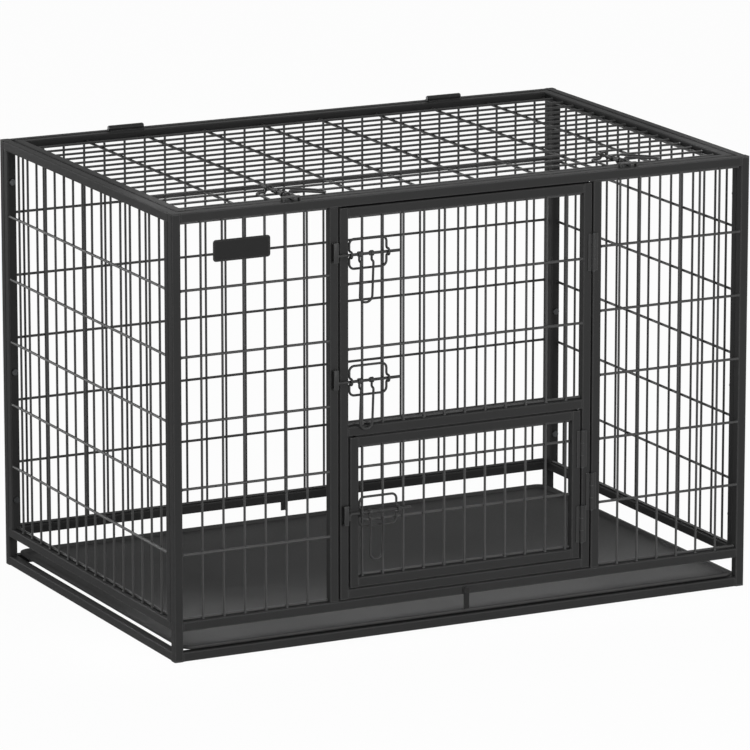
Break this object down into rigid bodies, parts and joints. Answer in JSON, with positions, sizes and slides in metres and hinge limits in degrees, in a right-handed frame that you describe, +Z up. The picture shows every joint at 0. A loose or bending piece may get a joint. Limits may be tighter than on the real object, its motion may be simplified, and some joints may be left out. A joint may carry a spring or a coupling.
{
  "type": "heavy duty dog crate",
  "caption": "Steel tube and wire mesh dog crate with a top lid, a front door, a feed door in it, slide-bolt latches with swinging handles, and a pull-out tray.",
  "frame": {"origin": "on the floor under the middle of the crate", "axes": "+X to the right seen from the front, +Y from the front to the back, +Z up"},
  "size_m": [1.07, 0.7128, 0.7578],
  "materials": {
    "powder_coat": "matte charcoal powder coat over welded steel",
    "plate_coat": "satin black enamel on a bare steel plate",
    "zinc_plate": "dull zinc-plated steel",
    "tray_plastic": "moulded grey plastic with a fine grain"
  },
  "bodies": {
    "frame": {"front_frame": "powder_coat", "back_frame": "powder_coat", "left_side_frame": "powder_coat", "right_side_frame": "powder_coat", "floor_rails": "powder_coat", "post_caps": "powder_coat", "front_left_mesh": "powder_coat", "front_right_mesh": "powder_coat", "back_mesh": "powder_coat", "left_mesh": "powder_coat", "right_mesh": "powder_coat", "panel_bolts": "zinc_plate", "name_plate": "plate_coat", "tray_tab_stud": "zinc_plate", "rear_tray_stop": "powder_coat", "lid_hinge_rail_leaves": "powder_coat", "lid_hinge_pins": "zinc_plate", "lid_keepers": "powder_coat", "door_hinge_jamb_leaves": "powder_coat", "door_hinge_pins": "zinc_plate", "door_keepers": "powder_coat"},
    "lid": {"lid_frame": "powder_coat", "lid_mesh": "powder_coat", "lid_hinge_lid_leaves": "powder_coat", "lid_left_guide": "powder_coat", "lid_right_guide": "powder_coat"},
    "door": {"door_frame": "powder_coat", "door_mesh": "powder_coat", "door_hinge_door_leaves": "powder_coat", "door_upper_guide": "powder_coat", "door_lower_guide": "powder_coat", "feed_hinge_stile_leaves": "powder_coat", "feed_hinge_pins": "zinc_plate", "feed_keeper": "powder_coat"},
    "feed_door": {"feed_frame": "powder_coat", "feed_mesh": "powder_coat", "feed_hinge_feed_leaves": "powder_coat", "feed_guide": "powder_coat"},
    "lid_left_bolt": {"lid_left_bolt": "powder_coat"},
    "lid_right_bolt": {"lid_right_bolt": "powder_coat"},
    "door_upper_bolt": {"door_upper_bolt": "powder_coat"},
    "door_lower_bolt": {"door_lower_bolt": "powder_coat"},
    "feed_bolt": {"feed_bolt": "powder_coat"},
    "lid_left_handle": {"lid_left_handle": "powder_coat"},
    "lid_right_handle": {"lid_right_handle": "powder_coat"},
    "door_upper_handle": {"door_upper_handle": "powder_coat"},
    "door_lower_handle": {"door_lower_handle": "powder_coat"},
    "feed_handle": {"feed_handle": "powder_coat"},
    "tray": {"tray": "tray_plastic"},
    "tray_tab": {"tray_tab": "powder_coat"}
  },
  "joints": [
    {"name": "lid_hinge", "type": "hinge", "parent": "frame", "child": "lid", "pos_m": [0, 0.33275, 0.753], "axis": [-1, 0, 0], "range_deg": [0, 205]},
    {"name": "door_hinge", "type": "hinge", "parent": "frame", "child": "door", "pos_m": [0.23525, -0.3535, 0.4], "axis": [0, 0, 1], "range_deg": [0, 170]},
    {"name": "feed_door_hinge", "type": "hinge", "parent": "door", "child": "feed_door", "pos_m": [0.21675, -0.3535, 0.2], "axis": [0, 0, -1], "range_deg": [-150, 0]},
    {"name": "tray_slide", "type": "slide", "parent": "frame", "child": "tray", "axis": [0, -1, 0], "range_m": [0, 0.62]},
    {"name": "tray_tab_pivot", "type": "hinge", "parent": "frame", "child": "tray_tab", "pos_m": [0, -0.35, 0.059], "axis": [0, 1, 0], "range_deg": [-90, 90]},
    {"name": "door_upper_bolt_slide", "type": "slide", "parent": "door", "child": "door_upper_bolt", "axis": [1, 0, 0], "range_m": [-0.011, 0.012]},
    {"name": "door_upper_handle_swing", "type": "hinge", "parent": "door_upper_bolt", "child": "door_upper_handle", "pos_m": [-0.2, -0.3528, 0.65114], "axis": [-1, 0, 0], "range_deg": [0, 130]},
    {"name": "door_lower_bolt_slide", "type": "slide", "parent": "door", "child": "door_lower_bolt", "axis": [1, 0, 0], "range_m": [-0.011, 0.012]},
    {"name": "door_lower_handle_swing", "type": "hinge", "parent": "door_lower_bolt", "child": "door_lower_handle", "pos_m": [-0.2, -0.3528, 0.43852], "axis": [-1, 0, 0], "range_deg": [0, 130]},
    {"name": "feed_bolt_slide", "type": "slide", "parent": "feed_door", "child": "feed_bolt", "axis": [1, 0, 0], "range_m": [-0.011, 0.012]},
    {"name": "feed_handle_swing", "type": "hinge", "parent": "feed_bolt", "child": "feed_handle", "pos_m": [-0.18, -0.3528, 0.21479], "axis": [-1, 0, 0], "range_deg": [0, 130]},
    {"name": "lid_left_bolt_slide", "type": "slide", "parent": "lid", "child": "lid_left_bolt", "axis": [0, 1, 0], "range_m": [-0.011, 0.012]},
    {"name": "lid_left_handle_swing", "type": "hinge", "parent": "lid_left_bolt", "child": "lid_left_handle", "pos_m": [-0.3119, -0.29, 0.7508], "axis": [0, -1, 0], "range_deg": [0, 130]},
    {"name": "lid_right_bolt_slide", "type": "slide", "parent": "lid", "child": "lid_right_bolt", "axis": [0, 1, 0], "range_m": [-0.011, 0.012]},
    {"name": "lid_right_handle_swing", "type": "hinge", "parent": "lid_right_bolt", "child": "lid_right_handle", "pos_m": [0.3119, -0.29, 0.7508], "axis": [0, -1, 0], "range_deg": [0, 130]}
  ]
}
